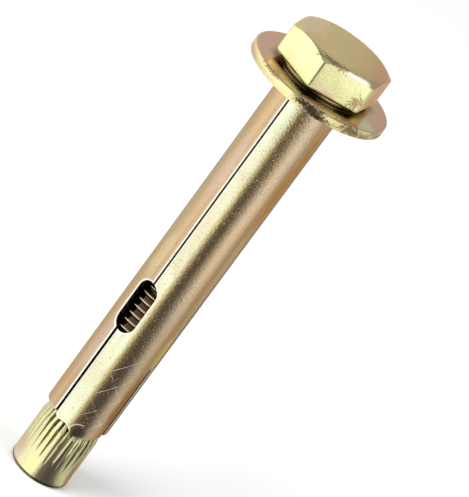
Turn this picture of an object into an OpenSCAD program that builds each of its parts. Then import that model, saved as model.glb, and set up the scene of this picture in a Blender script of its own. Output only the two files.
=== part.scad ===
// Sleeve anchor with a hex bolt, a wide washer, a slit sleeve and a ribbed cone nut.
// It stands on the end of its nut, with the head at the top and +Z along the bolt.
// Angles round the anchor count from the front (-Y), positive towards +X.

/* [Bolt] */
// Diameter over the thread crests of the bolt
bolt_d = 9.8; // [9.4:0.1:10.2]
// Distance across the flats of the hex head
head_across_flats = 17; // [16.4:0.1:18]
// Height of the hex head, without the round bearing collar under it
head_h = 6.3; // [5.4:0.1:7]
// Height of the round bearing collar under the head
collar_h = 0.6; // [0.3:0.1:0.8]
// Diameter of the round bearing collar under the head
collar_d = 15.6; // [14.4:0.1:16]
// Diameter of the flat on top of the head, inside the chamfer
head_top_d = 16.3; // [15:0.1:16.4]
// Slope of the chamfer on top of the head, in degrees
head_chamfer_slope = 33; // [25:1:40]
// Radius of the upright edges of the hex head
head_edge_r = 1.3; // [0.8:0.1:2]
// Size of the bevel round the underside of the hex
head_under_bevel = 0.7; // [0.3:0.1:1]
// Turn of the head: the angle at which one of its corners points
head_angle = -9; // [-30:1:30]
// Radius of the fillet between the shank and the bearing collar
head_fillet_r = 0.3; // [0.1:0.05:0.35]
// How far the thread groove goes in below the crests, to its mean line
thread_half_depth = 0.4; // [0.3:0.05:0.5]
// Distance that the bolt's tip stays back inside the nut
tip_inset = 1; // [0.6:0.1:2]
// Size of the chamfer on the bolt's tip
tip_chamfer = 0.9; // [0.5:0.1:1.2]

/* [Sleeve] */
// Length of the sleeve
sleeve_len = 73.6; // [60:0.2:90]
// Thickness of the rolled sleeve wall
sleeve_wall = 1; // [0.9:0.05:1.2]
// Play between the bolt and the sleeve, on the radius
sleeve_play = 0.1; // [0.05:0.01:0.1]
// Height over which the mouth of the sleeve is turned in
mouth_h = 1.9; // [1.2:0.1:2.6]
// How far the mouth of the sleeve is turned in, on the radius
mouth_in = 0.5; // [0.3:0.05:0.55]
// Angle of the rolled seam above the window
seam_angle = -25; // [-30:1:-20]
// Width of the gap in the rolled seam
seam_w = 0.2; // [0.15:0.05:0.4]
// Width of the window at the outside of the sleeve
window_w = 4.2; // [3:0.1:4.6]
// Length of the window
window_len = 10.4; // [8:0.1:14]
// Distance from the mouth of the sleeve up to the window
window_above_mouth = 20.6; // [18.5:0.1:24]
// Angle of the middle of the window
window_angle = -28; // [-31:1:-25]

/* [Petals] */
// Angle of the first slit, which runs from the window down to the mouth
first_slit_angle = -33.5; // [-36:0.5:-30]
// Width of the first slit
first_slit_w = 0.4; // [0.2:0.05:0.6]
// Angle from the first slit to the slit on each side of it
side_slit_turn = 102; // [90:1:110]
// Width of the other three slits
slit_w = 0.5; // [0.3:0.05:0.8]
// Length of the other three slits
slit_len = 16.9; // [13:0.1:20]
// Height by which the corners of the front petal end above its middle
front_petal_rise = 1.4; // [0.8:0.1:1.6]
// How much higher than the front one the other three petals end, at their middle
side_petal_up = 1.4; // [0:0.1:1.6]
// Height by which the corners of the other three petals end above their middle
side_petal_rise = 0.4; // [0.2:0.1:0.8]
// Angle of the middle of the shallow bay in the end of the front petal
bay_angle = -11; // [-14:1:-8]
// Radius of the shallow bay in the end of the front petal
bay_r = 2.1; // [1.6:0.1:2.4]
// Height of the top of the shallow bay above the mouth
bay_h = 1.3; // [1:0.1:1.5]

/* [Cone nut] */
// Height of the round, ribbed part of the nut, up to the start of its cone
nut_body_h = 9.8; // [8.5:0.1:12]
// Height of the cone on top of the nut
cone_h = 3.1; // [2.4:0.1:3.2]
// Slope of the cone from the axis, in degrees
cone_slope = 11.3; // [10:0.1:11.6]
// Thickness of the nut's wall round the thread
nut_wall = 0.95; // [0.9:0.05:1.1]
// Radius of the rounded edge at the end of the nut
nut_edge_r = 0.6; // [0.3:0.05:0.7]
// Play between the threads of the bolt and the nut, on the radius
thread_play = 0.05; // [0.02:0.01:0.1]
// Number of grooves round the nut
groove_count = 28; // [20:1:30]
// Depth of the grooves at the top of the cone
groove_top_depth = 0.08; // [0.05:0.01:0.12]
// Height above the end of the nut where the grooves fade out
groove_low = 4.3; // [3:0.1:6]
// Full angle of the V of each groove
groove_v = 64; // [50:1:80]
// Angle of the first groove
groove_angle = 3.5; // [-6:0.5:6]
// Height of the sleeve's mouth above the start of the cone
mouth_above_cone = 1.2; // [1:0.1:1.4]
// Play between the cone and the mouth of the sleeve, on the radius
mouth_play = 0.04; // [0.02:0.01:0.08]

/* [Washer] */
// Outer diameter of the washer
washer_d = 25.8; // [22:0.2:30]
// Thickness of the washer
washer_t = 1.7; // [1.4:0.1:2.4]
// Play between the bolt and the hole of the washer, on the radius
washer_play = 0.4; // [0.36:0.02:0.6]
// Radius of the washer's rounded edges
washer_edge_r = 0.25; // [0.1:0.05:0.4]

/* [Hidden] */
$fn = 96;
zinc_gold = [0.86, 0.74, 0.42];
zinc_pale = [0.90, 0.84, 0.55];
zinc_pink = [0.72, 0.60, 0.48];
zinc_olive = [0.78, 0.71, 0.45];

// Extra length of a cutter past the surface that it goes through
past = 1;
// Angle between two points along a rounded profile
arc_step = 15;

// Radii, from the bolt outwards
bolt_r = bolt_d / 2;
core_r = bolt_r - thread_half_depth;
bore_r = bolt_r + sleeve_play;
sleeve_r = bore_r + sleeve_wall;
nut_bore_r = core_r + thread_play;
nut_r = nut_bore_r + nut_wall;

// Heights, from the end of the nut upwards
nut_top = nut_body_h + cone_h;
mouth_z = nut_body_h + mouth_above_cone;
sleeve_top = mouth_z + sleeve_len;
washer_top = sleeve_top + washer_t;
hex_bottom = washer_top + collar_h;
head_top = hex_bottom + head_h;

// The cone, and the sleeve's mouth that sits on it
cone_per_mm = tan(cone_slope);
cone_top_r = nut_r - cone_h * cone_per_mm;
mouth_bore_r = nut_r - mouth_above_cone * cone_per_mm + mouth_play;
mouth_bore_h = (mouth_bore_r - bore_r) / cone_per_mm;
mouth_lip_r = sleeve_r - mouth_in;

// The window
window_half_angle = asin(window_w / 2 / sleeve_r);
window_end_r = sleeve_r * tan(window_half_angle);
window_low = mouth_z + window_above_mouth + window_end_r;
window_high = mouth_z + window_above_mouth + window_len - window_end_r;
window_middle = (window_low + window_high) / 2;

// The slits: the first one, one to each side of it and one straight behind it
slit_angles = [
    first_slit_angle,
    first_slit_angle + side_slit_turn,
    first_slit_angle + 180,
    first_slit_angle + 360 - side_slit_turn,
    first_slit_angle + 360
];

// The floor of each groove runs inwards in a straight line as it goes up
groove_tilt = atan((nut_r - cone_top_r + groove_top_depth) / (nut_top - groove_low));
groove_reach = nut_wall;

// Turns what lies along +X to the given angle round the anchor
module at_angle(angle) {
    rotate([0, 0, angle - 90]) children();
}

// A round bar from the axis outwards at the given angle and height
module radial_bar(angle, z, r) {
    at_angle(angle)
        translate([0, 0, z])
            rotate([0, 90, 0])
                cylinder(h = 2 * sleeve_r, r = r);
}

// A slot through one side of the sleeve, from one height to another
module radial_slot(angle, width, z_from, z_to) {
    at_angle(angle)
        translate([0, -width / 2, z_from])
            cube([sleeve_r + past, width, z_to - z_from]);
}

// A piece of a ring between two angles, wide enough to take in the sleeve's wall
module ring_sector(angle_from, angle_to, z_from, z_to) {
    at_angle(angle_from)
        rotate_extrude(angle = angle_to - angle_from)
            translate([bore_r - past, z_from])
                square([sleeve_wall + 2 * past, z_to - z_from]);
}

// A ring with a rectangular section whose four long edges are rounded
module rounded_ring(r_in, r_out, h, edge_r) {
    rotate_extrude() {
        translate([r_in, edge_r]) square([r_out - r_in, h - 2 * edge_r]);
        translate([r_in + edge_r, 0]) square([r_out - r_in - 2 * edge_r, h]);
        for (x = [r_in + edge_r, r_out - edge_r])
            for (y = [edge_r, h - edge_r])
                translate([x, y]) circle(edge_r);
    }
}

// Outline of the hex head, with each of its six corners rounded by an arc
module hex_outline() {
    arc_centre = (head_across_flats / 2 - head_edge_r) / cos(30);
    polygon([for (corner = [0:60:300], turn = [-30:arc_step:30])
        arc_centre * [cos(corner), sin(corner)]
            + head_edge_r * [cos(corner + turn), sin(corner + turn)]]);
}

// The cone and flat that trim the top of the head
module head_top_trim() {
    reach = head_across_flats;
    drop = (reach - head_top_d / 2) * tan(head_chamfer_slope);
    rotate_extrude()
        polygon([
            [0, head_top],
            [head_top_d / 2, head_top],
            [reach, head_top - drop],
            [reach, hex_bottom - past],
            [0, hex_bottom - past]
        ]);
}

// The slanted cuts along the six lower edges of the head
module head_under_trim() {
    side = head_under_bevel * sqrt(2);
    for (i = [0:5])
        rotate(60 * i + 30)
            translate([head_across_flats / 2, 0, hex_bottom])
                rotate([0, 45, 0])
                    cube([side, head_across_flats, side], center = true);
}

module bolt_head() {
    at_angle(head_angle)
        intersection() {
            difference() {
                translate([0, 0, hex_bottom]) linear_extrude(head_h) hex_outline();
                head_under_trim();
            }
            head_top_trim();
        }
}

// Collar, fillet, shank and tip, turned as one profile
module bolt_shank() {
    core_top = nut_top + thread_half_depth;
    rotate_extrude() {
        polygon([
            [0, tip_inset],
            [core_r - tip_chamfer, tip_inset],
            [core_r, tip_inset + tip_chamfer],
            [core_r, core_top],
            [bolt_r, core_top + thread_half_depth],
            [bolt_r, hex_bottom + past],
            [0, hex_bottom + past]
        ]);
        translate([0, washer_top]) square([collar_d / 2, collar_h + past]);
        difference() {
            translate([0, washer_top - head_fillet_r]) square([bolt_r + head_fillet_r, head_fillet_r]);
            translate([bolt_r + head_fillet_r, washer_top - head_fillet_r]) circle(head_fillet_r);
        }
    }
}

module hex_bolt() {
    color(zinc_olive) {
        bolt_head();
        bolt_shank();
    }
}

module flat_washer() {
    color(zinc_pink)
        translate([0, 0, sleeve_top])
            rounded_ring(bolt_r + washer_play, washer_d / 2, washer_t, washer_edge_r);
}

// The rolled tube, with its mouth turned in over the cone
module sleeve_tube() {
    turned_in = [for (a = [0:arc_step:90])
        [mouth_lip_r + mouth_in * sin(a), mouth_z + mouth_h * (1 - cos(a))]];
    rotate_extrude()
        polygon(concat(
            turned_in,
            [
                [sleeve_r, sleeve_top],
                [bore_r, sleeve_top],
                [bore_r, mouth_z + mouth_bore_h],
                [mouth_bore_r, mouth_z]
            ]
        ));
}

// The window's sides point at the axis, because it is punched before the sheet is rolled
module window_cut() {
    cone_len = sleeve_r + past;
    ring_sector(
        window_angle - window_half_angle,
        window_angle + window_half_angle,
        window_low,
        window_high
    );
    for (z = [window_low, window_high])
        at_angle(window_angle)
            translate([0, 0, z])
                rotate([0, 90, 0])
                    cylinder(h = cone_len, r1 = 0, r2 = cone_len * tan(window_half_angle));
}

module seam_cut() {
    radial_slot(seam_angle, seam_w, window_middle, sleeve_top + past);
}

module slit_cuts() {
    radial_slot(first_slit_angle, first_slit_w, mouth_z - past, window_middle);
    for (i = [1:3]) {
        radial_slot(slit_angles[i], slit_w, mouth_z - past, mouth_z + slit_len - slit_w / 2);
        radial_bar(slit_angles[i], mouth_z + slit_len - slit_w / 2, slit_w / 2);
    }
}

// Rounds the end of one petal, so that its corners end higher than its middle
module petal_end_cut(angle_from, angle_to, low_z, rise) {
    half_chord = sleeve_r * sin((angle_to - angle_from) / 2);
    end_r = (half_chord * half_chord + rise * rise) / (2 * rise);
    difference() {
        ring_sector(angle_from, angle_to, mouth_z - past, low_z + 2 * rise);
        radial_bar((angle_from + angle_to) / 2, low_z + end_r, end_r);
    }
}

module sleeve() {
    color(zinc_gold)
        difference() {
            sleeve_tube();
            window_cut();
            seam_cut();
            slit_cuts();
            petal_end_cut(slit_angles[0], slit_angles[1], mouth_z, front_petal_rise);
            for (i = [1:3])
                petal_end_cut(
                    slit_angles[i],
                    slit_angles[i + 1],
                    mouth_z + side_petal_up,
                    side_petal_rise
                );
            radial_bar(bay_angle, mouth_z + bay_h - bay_r, bay_r);
        }
}

// One V-shaped groove, deepest where the cone starts and fading out towards the end
module nut_groove() {
    half_w = groove_reach * tan(groove_v / 2);
    translate([nut_r, 0, groove_low])
        rotate([0, -groove_tilt, 0])
            translate([0, 0, -past])
                linear_extrude(nut_top)
                    polygon([[0, 0], [groove_reach, half_w], [groove_reach, -half_w]]);
}

module cone_nut() {
    color(zinc_pale)
        difference() {
            rotate_extrude() {
                translate([nut_bore_r, nut_edge_r]) square([nut_wall, nut_body_h - nut_edge_r]);
                translate([nut_bore_r, 0]) square([nut_wall - nut_edge_r, nut_edge_r + past]);
                intersection() {
                    translate([nut_r - nut_edge_r, nut_edge_r]) circle(nut_edge_r);
                    translate([nut_bore_r, 0]) square([nut_wall, nut_body_h]);
                }
                polygon([
                    [nut_bore_r, nut_body_h],
                    [nut_r, nut_body_h],
                    [cone_top_r, nut_top],
                    [nut_bore_r, nut_top]
                ]);
            }
            for (i = [0:groove_count - 1])
                at_angle(groove_angle + 360 / groove_count * i) nut_groove();
        }
}

hex_bolt();
flat_washer();
sleeve();
cone_nut();
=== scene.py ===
# %% [markdown]
# # Sleeve anchor
# A sleeve anchor holds things to concrete: a hex bolt pulls a ribbed cone nut up into a slit
# sleeve, and the sleeve's petals press against the drilled hole. Everything is steel with a
# golden zinc coat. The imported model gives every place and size, so each piece below is built
# on the boxes of its own part and stands in for it.

import math

import bmesh
import bpy
from mathutils import Matrix, Vector


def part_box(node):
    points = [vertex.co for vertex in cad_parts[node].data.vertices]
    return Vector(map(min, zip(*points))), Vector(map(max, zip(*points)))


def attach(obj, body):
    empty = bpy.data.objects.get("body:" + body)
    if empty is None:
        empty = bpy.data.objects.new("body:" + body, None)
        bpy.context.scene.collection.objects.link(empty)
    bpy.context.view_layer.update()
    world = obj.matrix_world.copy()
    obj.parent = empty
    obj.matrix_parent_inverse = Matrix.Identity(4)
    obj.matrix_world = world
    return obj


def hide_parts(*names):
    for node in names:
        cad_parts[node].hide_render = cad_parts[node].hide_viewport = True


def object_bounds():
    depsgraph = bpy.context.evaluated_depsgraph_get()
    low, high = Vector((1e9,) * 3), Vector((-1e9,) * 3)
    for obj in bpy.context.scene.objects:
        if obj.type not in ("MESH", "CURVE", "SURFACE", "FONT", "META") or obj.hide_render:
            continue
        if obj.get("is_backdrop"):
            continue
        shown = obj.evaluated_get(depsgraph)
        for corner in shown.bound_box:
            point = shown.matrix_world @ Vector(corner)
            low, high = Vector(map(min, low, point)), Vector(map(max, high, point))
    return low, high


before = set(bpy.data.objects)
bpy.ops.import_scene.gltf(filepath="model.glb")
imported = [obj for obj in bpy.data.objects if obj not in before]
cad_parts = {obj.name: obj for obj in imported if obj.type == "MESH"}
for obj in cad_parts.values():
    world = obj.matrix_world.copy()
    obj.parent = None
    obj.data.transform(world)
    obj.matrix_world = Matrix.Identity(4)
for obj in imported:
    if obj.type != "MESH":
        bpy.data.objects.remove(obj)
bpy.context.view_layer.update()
print("nodes", sorted(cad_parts))

# %% [markdown]
# ## Sizes
# Blender works in metres, so small sizes are written in millimetres times MM. What the model
# already knows is read from its boxes. Angles round the anchor count from the front (-Y),
# positive towards +X, as in the part's own source.

# %% Sizes from the model
MM = 0.001

bolt_low, bolt_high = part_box("hex_bolt")
washer_low, washer_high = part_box("flat_washer")
sleeve_low, sleeve_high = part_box("sleeve")
nut_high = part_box("cone_nut")[1]

tip_z, head_top = bolt_low.z, bolt_high.z
washer_bottom, washer_top, washer_r = washer_low.z, washer_high.z, washer_high.x
mouth_z, sleeve_top, sleeve_r = sleeve_low.z, sleeve_high.z, sleeve_high.x
nut_top, nut_r = nut_high.z, nut_high.x
print("sleeve", round(sleeve_r / MM, 2), "mm in radius, mouth at", round(mouth_z / MM, 2), "mm")

# %% [markdown]
# ## Small tools
# Every piece starts as a line, a ring or a sheet in a bmesh, and operators shape it. Three
# helpers repeat: drawing a line of edges, spinning it round the axis, and turning the
# finished bmesh into an object that rides on its body in place of the plain part.

# %% Line, spin and finish


def draw_line(bm, points):
    """A chain of straight edges through the points, as a pen would draw it."""
    verts = [bm.verts.new(point) for point in points]
    return verts + [bm.edges.new(pair) for pair in zip(verts, verts[1:])]


def spin_round(bm, geom, steps, climb=0.0):
    """Spins the geometry once round the anchor's axis; climb is how far it rises in that."""
    bmesh.ops.spin(
        bm,
        geom=geom,
        cent=(0, 0, 0),
        axis=(0, 0, 1),
        dvec=(0, 0, climb / steps),
        angle=math.tau,
        steps=steps,
        use_merge=(climb == 0.0),
        use_duplicate=False,
    )
    bmesh.ops.remove_doubles(bm, verts=bm.verts, dist=0.002 * MM)


def finish_piece(name, bm, node, body, sharp_deg=40):
    """Closes the books on a piece: outward faces, smooth shading, body and node."""
    bmesh.ops.recalc_face_normals(bm, faces=bm.faces)
    mesh = bpy.data.meshes.new(name)
    bm.to_mesh(mesh)
    bm.free()
    mesh.shade_smooth()
    mesh.set_sharp_from_angle(angle=math.radians(sharp_deg))
    piece = bpy.data.objects.new(name, mesh)
    bpy.context.collection.objects.link(piece)
    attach(piece, body)
    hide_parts(node)
    triangles = sum(len(p.vertices) - 2 for p in mesh.polygons)
    print(name, "has", triangles, "triangles, height", round(piece.dimensions.z / MM, 2), "mm")
    return piece


# %% [markdown]
# ## Thread
# A thread is one tooth's profile that turns round the axis while it climbs by one pitch a
# turn. Spin does just that with its dvec. The profile is exactly one pitch high, so copies of
# one turn stack without a gap. Bolt and nut use the same tooth, so they mesh.

# %% Thread values and strip
pitch = 1.5 * MM
crest_r = 4.9 * MM
root_r = 4.15 * MM
nut_zone_crest_r = 4.6 * MM
thread_gap = 0.06 * MM
thread_steps = 60
tooth = [(0.0, 0.0), (0.06, 0.05), (0.42, 0.86), (0.47, 0.97), (0.5, 1.0)]
tooth += [(1 - share, height) for share, height in reversed(tooth[:-1])]


def thread_strip(bm, z_from, z_to, root, crest):
    """A threaded tube wall from z_from to z_to, cut level at both ends."""
    points = [
        (root + (crest - root) * height, 0, z_from - pitch * (1.5 - share))
        for share, height in tooth
    ]
    spin_round(bm, draw_line(bm, points), thread_steps, climb=pitch)
    one_turn = bm.verts[:] + bm.edges[:] + bm.faces[:]
    for turn in range(1, math.ceil((z_to - z_from) / pitch) + 2):
        copy = bmesh.ops.duplicate(bm, geom=one_turn)["geom"]
        copied = [item for item in copy if isinstance(item, bmesh.types.BMVert)]
        bmesh.ops.translate(bm, vec=(0, 0, turn * pitch), verts=copied)
    bmesh.ops.remove_doubles(bm, verts=bm.verts, dist=0.002 * MM)
    for z, side in ((z_from, -1), (z_to, 1)):
        everything = bm.verts[:] + bm.edges[:] + bm.faces[:]
        bmesh.ops.bisect_plane(
            bm, geom=everything, plane_co=(0, 0, z), plane_no=(0, 0, side), clear_outer=True
        )


# %% [markdown]
# ## Hex bolt
# The head is cold-formed: six flats with rounded upright edges, a cone-shaped chamfer on
# top that bites deepest at the corners, a bevel below and a round bearing collar. A hexagon
# with beveled corners is grown ring by ring, and each ring's height follows the chamfer's
# cone, so the curved edge over every flat comes out by itself.

# %% Head and shank values
across_flats = 17.0 * MM
head_edge_r = 0.9 * MM
head_turn_deg = -9.0
head_top_r = 8.15 * MM
chamfer_slope = math.tan(math.radians(33))
chamfer_soft = 0.35 * MM
rim_r = 0.4 * MM
under_bevel = 0.7 * MM
collar_h = 0.6 * MM
collar_r = 7.8 * MM
collar_edge = 0.12 * MM
fillet_r = 0.3 * MM
hex_bottom = washer_top + collar_h
thread_end = 52.0 * MM


def chamfer_z(radius):
    """Height of the head's top at this distance from the axis."""
    past_edge = radius - head_top_r
    return head_top - chamfer_slope * (past_edge + math.hypot(past_edge, chamfer_soft)) / 2


def hexagon_ring(bm):
    """An edge ring round a hexagon with rounded corners."""
    bmesh.ops.create_circle(bm, cap_ends=True, radius=across_flats / math.sqrt(3), segments=6)
    bmesh.ops.bevel(
        bm,
        geom=bm.verts[:],
        offset=head_edge_r * math.tan(math.radians(30)),
        segments=8,
        profile=0.5,
        affect="VERTICES",
        material=-1,
    )
    longest = max(edge.calc_length() for edge in bm.edges)
    flats = [edge for edge in bm.edges if edge.calc_length() > 0.9 * longest]
    bmesh.ops.subdivide_edges(bm, edges=flats, cuts=11)
    bmesh.ops.delete(bm, geom=bm.faces[:], context="FACES_ONLY")
    bmesh.ops.rotate(
        bm, verts=bm.verts, matrix=Matrix.Rotation(math.radians(head_turn_deg), 3, "Z")
    )
    return bm.edges[:]


def grow_ring(bm, ring, place):
    """Extrudes a ring of edges; place gives each new vertex its spot from its old one."""
    grown = bmesh.ops.extrude_edge_only(bm, edges=ring)["geom"]
    fresh = {item for item in grown if isinstance(item, bmesh.types.BMVert)}
    for vert in fresh:
        vert.co = place(vert.co)
    return [
        item
        for item in grown
        if isinstance(item, bmesh.types.BMEdge) and set(item.verts) <= fresh
    ]


def moved_in(co, inset, z):
    """The point at height z and nearer to the axis by inset."""
    radius = math.hypot(co.x, co.y)
    share = (radius - inset) / radius
    return Vector((co.x * share, co.y * share, z))


def on_circle(co, radius, z):
    """The point at height z and at this radius, in the same direction."""
    share = radius / math.hypot(co.x, co.y)
    return Vector((co.x * share, co.y * share, z))


# %% Grow the head upwards
bm = bmesh.new()
start_ring = hexagon_ring(bm)
for vert in bm.verts:
    vert.co.z = hex_bottom + under_bevel

rim_turn = math.radians(90) - math.atan(chamfer_slope)
rim_leg = rim_r * math.tan(rim_turn / 2)
rim_steps = 5
keep_flat = 0.08 * MM
ring = grow_ring(bm, start_ring, lambda co: moved_in(co, 0, co.z + keep_flat))
ring = grow_ring(
    bm, ring, lambda co: moved_in(co, 0, chamfer_z(co.xy.length) - rim_leg - keep_flat)
)
inset = 0.0
for step in range(rim_steps + 1):
    turn = rim_turn * step / rim_steps
    target = rim_r * (1 - math.cos(turn))
    rise = rim_r * math.sin(turn) - rim_leg
    ring = grow_ring(
        bm,
        ring,
        lambda co: moved_in(co, target - inset, chamfer_z(co.xy.length + inset) + rise),
    )
    inset = target
near_rim, on_top = [0.985] * 11, [0.93, 0.7, 0.3]
for scale in near_rim + on_top:
    ring = grow_ring(
        bm, ring, lambda co: on_circle(co, co.xy.length * scale, chamfer_z(co.xy.length * scale))
    )
bmesh.ops.contextual_create(bm, geom=ring)
print("the head's top is at", round(max(v.co.z for v in bm.verts) / MM, 2), "mm")

# %% Grow the collar and the shank downwards
ring = start_ring
for inset, z in [
    (0.12 * MM, hex_bottom + under_bevel - 0.25 * MM),
    (under_bevel - 0.12 * MM, hex_bottom + 0.04 * MM),
]:
    ring = grow_ring(bm, ring, lambda co: moved_in(co, inset, z))
for radius, z in [
    (collar_r + 0.1 * MM, hex_bottom),
    (collar_r, hex_bottom - 0.1 * MM),
    (collar_r, washer_top + collar_edge),
    (collar_r - 0.3 * collar_edge, washer_top + 0.3 * collar_edge),
    (collar_r - collar_edge, washer_top),
    (crest_r + fillet_r, washer_top),
    (crest_r + 0.3 * fillet_r, washer_top - 0.3 * fillet_r),
    (crest_r, washer_top - fillet_r),
    (crest_r, thread_end + 0.6 * MM),
    (root_r, thread_end),
]:
    ring = grow_ring(bm, ring, lambda co: on_circle(co, radius, z))
bmesh.ops.contextual_create(bm, geom=ring)

# %% Thread on the bolt
bolt_thread = bmesh.new()
thread_strip(bolt_thread, tip_z, thread_end + 0.3 * MM, root_r, crest_r)
tip_chamfer = 0.9 * MM
zone_top = nut_top + 0.8 * MM
for vert in bolt_thread.verts:
    radius = vert.co.xy.length
    if vert.co.z < zone_top:
        share = (radius - root_r) / (crest_r - root_r)
        radius = root_r + share * (nut_zone_crest_r - root_r)
    radius = min(radius, root_r - tip_chamfer / 2 + vert.co.z - tip_z)
    vert.co = on_circle(vert.co, radius, vert.co.z)
bmesh.ops.holes_fill(bolt_thread, edges=bolt_thread.edges[:])
thread_mesh = bpy.data.meshes.new("thread")
bolt_thread.to_mesh(thread_mesh)
bolt_thread.free()
bm.from_mesh(thread_mesh)
bolt = finish_piece("bolt", bm, "hex_bolt", "bolt")

# %% [markdown]
# ## Washer
# A wide washer is punched from plate. The punch rolls the upper rim over a little and leaves
# the lower one sharper. One rectangle is spun to a ring, and its four edges are beveled.

# %% Spin the washer
washer_hole_r = 5.3 * MM
top_roll = 0.32 * MM
bottom_roll = 0.14 * MM

bm = bmesh.new()
support = 0.6 * MM
across = [washer_hole_r, washer_hole_r + support, washer_r - support, washer_r]
section = [(radius, 0, washer_bottom) for radius in across]
section += [(radius, 0, washer_top) for radius in reversed(across)]
spin_round(bm, draw_line(bm, section + section[:1]), 160)
for z, roll in ((washer_top, top_roll), (washer_bottom, bottom_roll)):
    rims = [
        edge
        for edge in bm.edges
        if abs(edge.calc_face_angle(0) - math.radians(90)) < 0.1
        and abs(edge.verts[0].co.z - z) < 0.01 * MM
    ]
    bmesh.ops.bevel(
        bm, geom=rims, offset=roll, segments=4, profile=0.5, affect="EDGES", material=-1
    )
washer = finish_piece("washer", bm, "flat_washer", "washer")

# %% [markdown]
# ## Sleeve
# The real sleeve starts as a flat blank of steel sheet. A die punches the slits, half the
# window into either edge and the rounded petal ends, and the blank is then rolled until its
# edges meet in the seam. The mesh is made the same way: the outline is drawn flat with
# straight lines and spun arcs, filled, given its thickness and rounded edges, cut into
# narrow columns, and only then rolled. Each point keeps its depth in the sheet as a number,
# which the material reads later.

# %% Sleeve values
wall = 1.0 * MM
bore_r = sleeve_r - wall
seam_deg, seam_w = -25.0, 0.2 * MM
window_deg, window_w = -28.0, 4.29 * MM
window_bottom = mouth_z + 20.6 * MM
window_top = window_bottom + 10.4 * MM
first_slit_deg, first_slit_w = -33.5, 0.4 * MM
slit_w = 0.5 * MM
slit_top = mouth_z + 16.9 * MM
side_slit_turn = 102.0
front_petal_rise = 1.4 * MM
side_petal_up, side_petal_rise = 1.4 * MM, 0.4 * MM
bay_deg, bay_r, bay_top = -11.0, 2.1 * MM, mouth_z + 1.3 * MM
eased_w, eased_drop = 0.36 * MM, 0.08 * MM
sheet_edge = 0.12 * MM


def along(deg):
    """Distance along the flat blank of this angle round the sleeve."""
    return math.radians(deg) * sleeve_r


def line_to(bm, vert, x, z):
    """Draws a straight edge from the vertex to the point."""
    end = bmesh.ops.extrude_vert_indiv(bm, verts=[vert])["verts"][0]
    end.co = Vector((x, 0, z))
    return end


def arc_to(bm, vert, centre_x, centre_z, x, z, clockwise=True, steps=12):
    """Draws an arc round the centre from the vertex to the point's direction."""
    start = math.atan2(vert.co.z - centre_z, vert.co.x - centre_x)
    turn = (math.atan2(z - centre_z, x - centre_x) - start) % math.tau
    if clockwise:
        turn -= math.tau
    spun = bmesh.ops.spin(
        bm,
        geom=[vert],
        cent=(centre_x, 0, centre_z),
        axis=(0, -1, 0),
        angle=turn,
        steps=steps,
        use_duplicate=False,
    )
    end = [item for item in spun["geom_last"] if isinstance(item, bmesh.types.BMVert)][0]
    return end


def circles_meet(centre_gap, z_gap, r_from, r_to, side):
    """Where two circles cross, from the first one's centre; side picks one of the two spots."""
    gap = math.hypot(centre_gap, z_gap)
    reach = (r_from**2 - r_to**2 + gap**2) / (2 * gap)
    half = math.sqrt(r_from**2 - reach**2)
    x = (reach * centre_gap - side * half * z_gap) / gap
    z = (reach * z_gap + side * half * centre_gap) / gap
    return x, z


# %% Draw the blank's outline
bm = bmesh.new()
window_x, window_half = along(window_deg), along(math.degrees(window_w / 2 / sleeve_r))
upper_z, lower_z = window_top - window_half, window_bottom + window_half
half_seam, half_first = seam_w / 2, first_slit_w / 2


def window_side(vert, centre_x, side, first_z, last_z, end_x):
    """Draws half of the window clockwise: a round end, the straight side, a round end."""
    side_x = centre_x + side * window_half
    vert = arc_to(bm, vert, centre_x, first_z, side_x, first_z)
    vert = line_to(bm, vert, side_x, last_z)
    return arc_to(bm, vert, centre_x, last_z, end_x, above_window(end_x, centre_x, last_z, -side))


def above_window(x, centre_x, z, sign):
    """The point on the window's round end straight over or under x."""
    return z + sign * math.sqrt(window_half**2 - (x - centre_x) ** 2)


def petal_end(vert, from_x, to_x, low_z, rise):
    """Draws a petal's rounded end, whose corners stand higher than its middle."""
    half = (to_x - from_x) / 2
    end_r = (half**2 + rise**2) / (2 * rise)
    middle, centre_z = (from_x + to_x) / 2, low_z + end_r
    bay_x, bay_z = along(bay_deg), bay_top - bay_r
    if from_x < bay_x < to_x:
        for side, centre, steps in ((-1, (middle, centre_z), 8), (1, (bay_x, bay_z), 14)):
            x, z = circles_meet(bay_x - middle, bay_z - centre_z, end_r, bay_r, side)
            vert = arc_to(bm, vert, *centre, middle + x, centre_z + z, side > 0, steps)
    return arc_to(bm, vert, middle, centre_z, to_x, low_z + rise, False, 32)


right_seam = along(seam_deg) + half_seam
left_seam = along(seam_deg + 360) - half_seam
right_slit = along(first_slit_deg) + half_first
left_slit = along(first_slit_deg + 360) - half_first
left_window_x = along(window_deg + 360)
side_low_z = mouth_z + side_petal_up

first = bm.verts.new((right_seam, 0, sleeve_top))
pen = line_to(bm, first, right_seam, above_window(right_seam, window_x, upper_z, 1))
pen = window_side(pen, window_x, 1, upper_z, lower_z, right_slit)
pen = line_to(bm, pen, right_slit, mouth_z + front_petal_rise)
petal_from, low_z, rise = right_slit, mouth_z, front_petal_rise
for turn in (side_slit_turn, 180.0, 360 - side_slit_turn):
    slit_x, round_z = along(first_slit_deg + turn), slit_top - slit_w / 2
    pen = petal_end(pen, petal_from, slit_x - slit_w / 2, low_z, rise)
    pen = line_to(bm, pen, slit_x - slit_w / 2, round_z)
    pen = arc_to(bm, pen, slit_x, round_z, slit_x + slit_w / 2, round_z)
    petal_from, low_z, rise = slit_x + slit_w / 2, side_low_z, side_petal_rise
    pen = line_to(bm, pen, petal_from, low_z + rise)
pen = petal_end(pen, petal_from, left_slit, low_z, rise)
pen = line_to(bm, pen, left_slit, above_window(left_slit, left_window_x, lower_z, -1))
pen = window_side(pen, left_window_x, -1, lower_z, upper_z, left_seam)
pen = line_to(bm, pen, left_seam, sleeve_top)
bm.edges.new((pen, first))
outline = bm.edges[:]
print("outline of", len(outline), "edges")

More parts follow.
